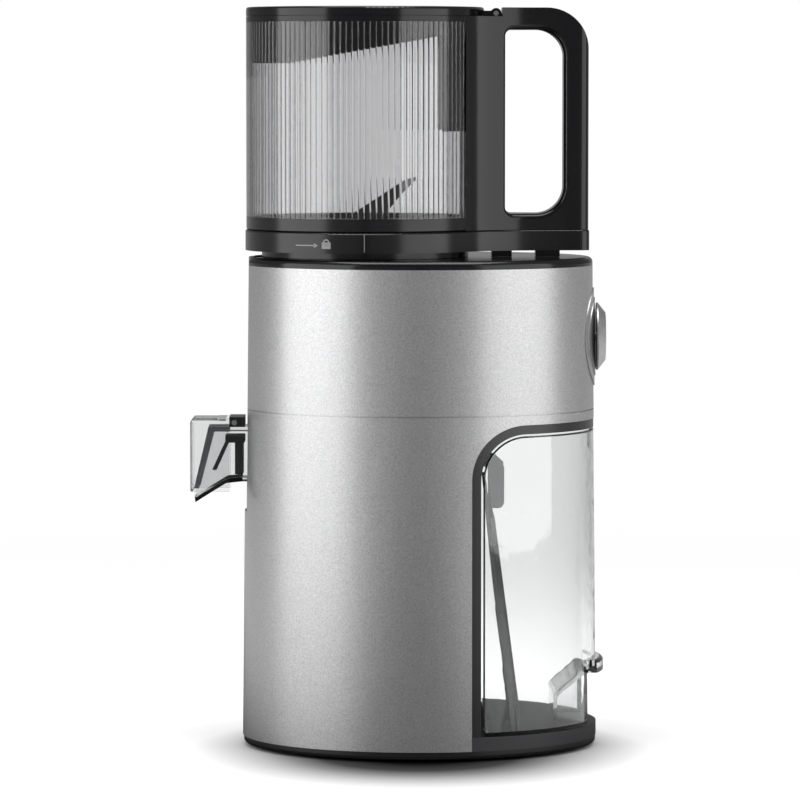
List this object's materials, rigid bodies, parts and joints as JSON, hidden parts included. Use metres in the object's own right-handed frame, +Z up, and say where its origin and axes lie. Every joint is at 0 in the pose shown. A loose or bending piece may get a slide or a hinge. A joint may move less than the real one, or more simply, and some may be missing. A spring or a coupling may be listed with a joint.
{
  "type": "cold press juicer",
  "caption": "Upright cold press juicer: oval body, lift-out juicing chamber, wide ribbed hopper with handle and hinged lid, capped spout, rear selector and slide-out pulp bin.",
  "frame": {"origin": "middle of the overall footprint, on the surface that the feet stand on", "axes": "+Z up, -X towards the juice spout, +X towards the handle, selector and pulp bin, Y across"},
  "size_m": [0.2586, 0.1838, 0.4603],
  "materials": {
    "silver_paint": "satin metallic paint",
    "grey_paint": "satin metallic paint",
    "gloss_black": "gloss",
    "black_abs": "fine satin",
    "smoke_clear": "clear smoke",
    "water_clear": "clear",
    "dark_pei": "satin",
    "rubber": "matt",
    "silicone": "matt",
    "grey_silicone": "matt",
    "band_silicone": "satin",
    "smoke_trough": "clear smoke",
    "steel": "turned",
    "cast_aluminium": "as cast",
    "bronze": "sintered",
    "brass": "stamped",
    "copper": "lacquered wire",
    "ferrite": "dull",
    "circuit_board": "solder mask"
  },
  "bodies": {
    "root": {"rubber_feet": "rubber", "base_plate": "black_abs", "housing_screws": "steel", "lower_shell": "silver_paint", "upper_shell": "silver_paint", "top_deck": "gloss_black", "chamber_well": "black_abs", "shaft_seal": "silicone", "bay_liner": "black_abs", "bay_floor": "black_abs", "pulp_chute": "grey_silicone", "knob_bezel": "silver_paint", "rotary_switch": "black_abs", "control_board": "circuit_board", "cord_gland": "rubber", "gearbox_case": "cast_aluminium", "gearbox_cover": "cast_aluminium", "shaft_bearings": "bronze", "idler_axle": "steel", "motor_can": "steel", "motor_magnets": "ferrite", "motor_end_cap": "cast_aluminium", "brush_holders": "brass", "motor_cushion": "rubber"},
    "rotor": {"rotor_shaft": "steel", "motor_pinion": "steel", "rotor_core": "ferrite", "rotor_windings": "copper", "commutator": "copper", "cooling_fan": "black_abs"},
    "idler": {"idler_gear": "steel"},
    "output": {"output_gear": "steel", "drive_shaft": "steel"},
    "chamber": {"chamber_drum": "smoke_clear", "chamber_collar": "black_abs", "strainer": "dark_pei", "drum_seal": "silicone", "front_panel": "grey_paint", "juice_spout": "water_clear", "mouth_gasket": "band_silicone", "drip_trough": "smoke_trough", "hinge_block": "black_abs", "spout_insert": "silicone", "cap_pin": "steel"},
    "spout_cap": {"juice_cap": "water_clear"},
    "auger": {"auger": "dark_pei", "auger_socket": "steel", "cutting_wing": "dark_pei"},
    "hopper": {"hopper_base_ring": "black_abs", "hopper_cup": "smoke_clear", "ribbed_sleeve": "smoke_clear", "hopper_top_ring": "gloss_black", "feed_guard": "black_abs", "handle": "gloss_black", "lid_pin": "steel"},
    "lid": {"lid": "gloss_black", "lid_seal": "grey_silicone"},
    "pulp_bin": {"pulp_bin": "water_clear", "bin_front": "water_clear"},
    "knob": {"knob": "silver_paint"}
  },
  "joints": [
    {"name": "chamber_lift", "type": "slide", "parent": "root", "child": "chamber", "axis": [0, 0, 1], "range_m": [0, 0.165]},
    {"name": "hopper_turn", "type": "hinge", "parent": "chamber", "child": "hopper", "pos_m": [-0.02053, 0, 0.3226], "axis": [0, 0, 1], "range_deg": [-35, 0]},
    {"name": "lid_hinge", "type": "hinge", "parent": "hopper", "child": "lid", "pos_m": [0.06067, 0, 0.4564], "axis": [0, 1, 0], "range_deg": [0, 100]},
    {"name": "cap_hinge", "type": "hinge", "parent": "chamber", "child": "spout_cap", "pos_m": [-0.10183, 0, 0.2025], "axis": [0, 1, 0], "range_deg": [0, 95]},
    {"name": "bin_slide", "type": "slide", "parent": "root", "child": "pulp_bin", "axis": [1, 0, 0], "range_m": [0, 0.12]},
    {"name": "knob_turn", "type": "hinge", "parent": "root", "child": "knob", "pos_m": [0.12177, 0, 0.2556], "axis": [1, 0, 0], "range_deg": [-45, 45]},
    {"name": "rotor_spin", "type": "hinge", "parent": "root", "child": "rotor", "pos_m": [-0.02053, 0, 0.1], "axis": [0, 0, 1], "continuous": true},
    {"name": "idler_spin", "type": "hinge", "parent": "root", "child": "idler", "pos_m": [-0.02053, 0.036, 0.13], "axis": [0, 0, 1], "continuous": true},
    {"name": "output_spin", "type": "hinge", "parent": "root", "child": "output", "pos_m": [-0.02053, 0, 0.15], "axis": [0, 0, 1], "continuous": true},
    {"name": "auger_spin", "type": "hinge", "parent": "chamber", "child": "auger", "pos_m": [-0.02053, 0, 0.22], "axis": [0, 0, 1], "continuous": true}
  ],
  "couplings": [
    {"joint": "idler_spin", "follows": "rotor_spin", "ratio": -0.33333},
    {"joint": "output_spin", "follows": "rotor_spin", "ratio": 0.11111},
    {"joint": "auger_spin", "follows": "rotor_spin", "ratio": 0.11111}
  ]
}
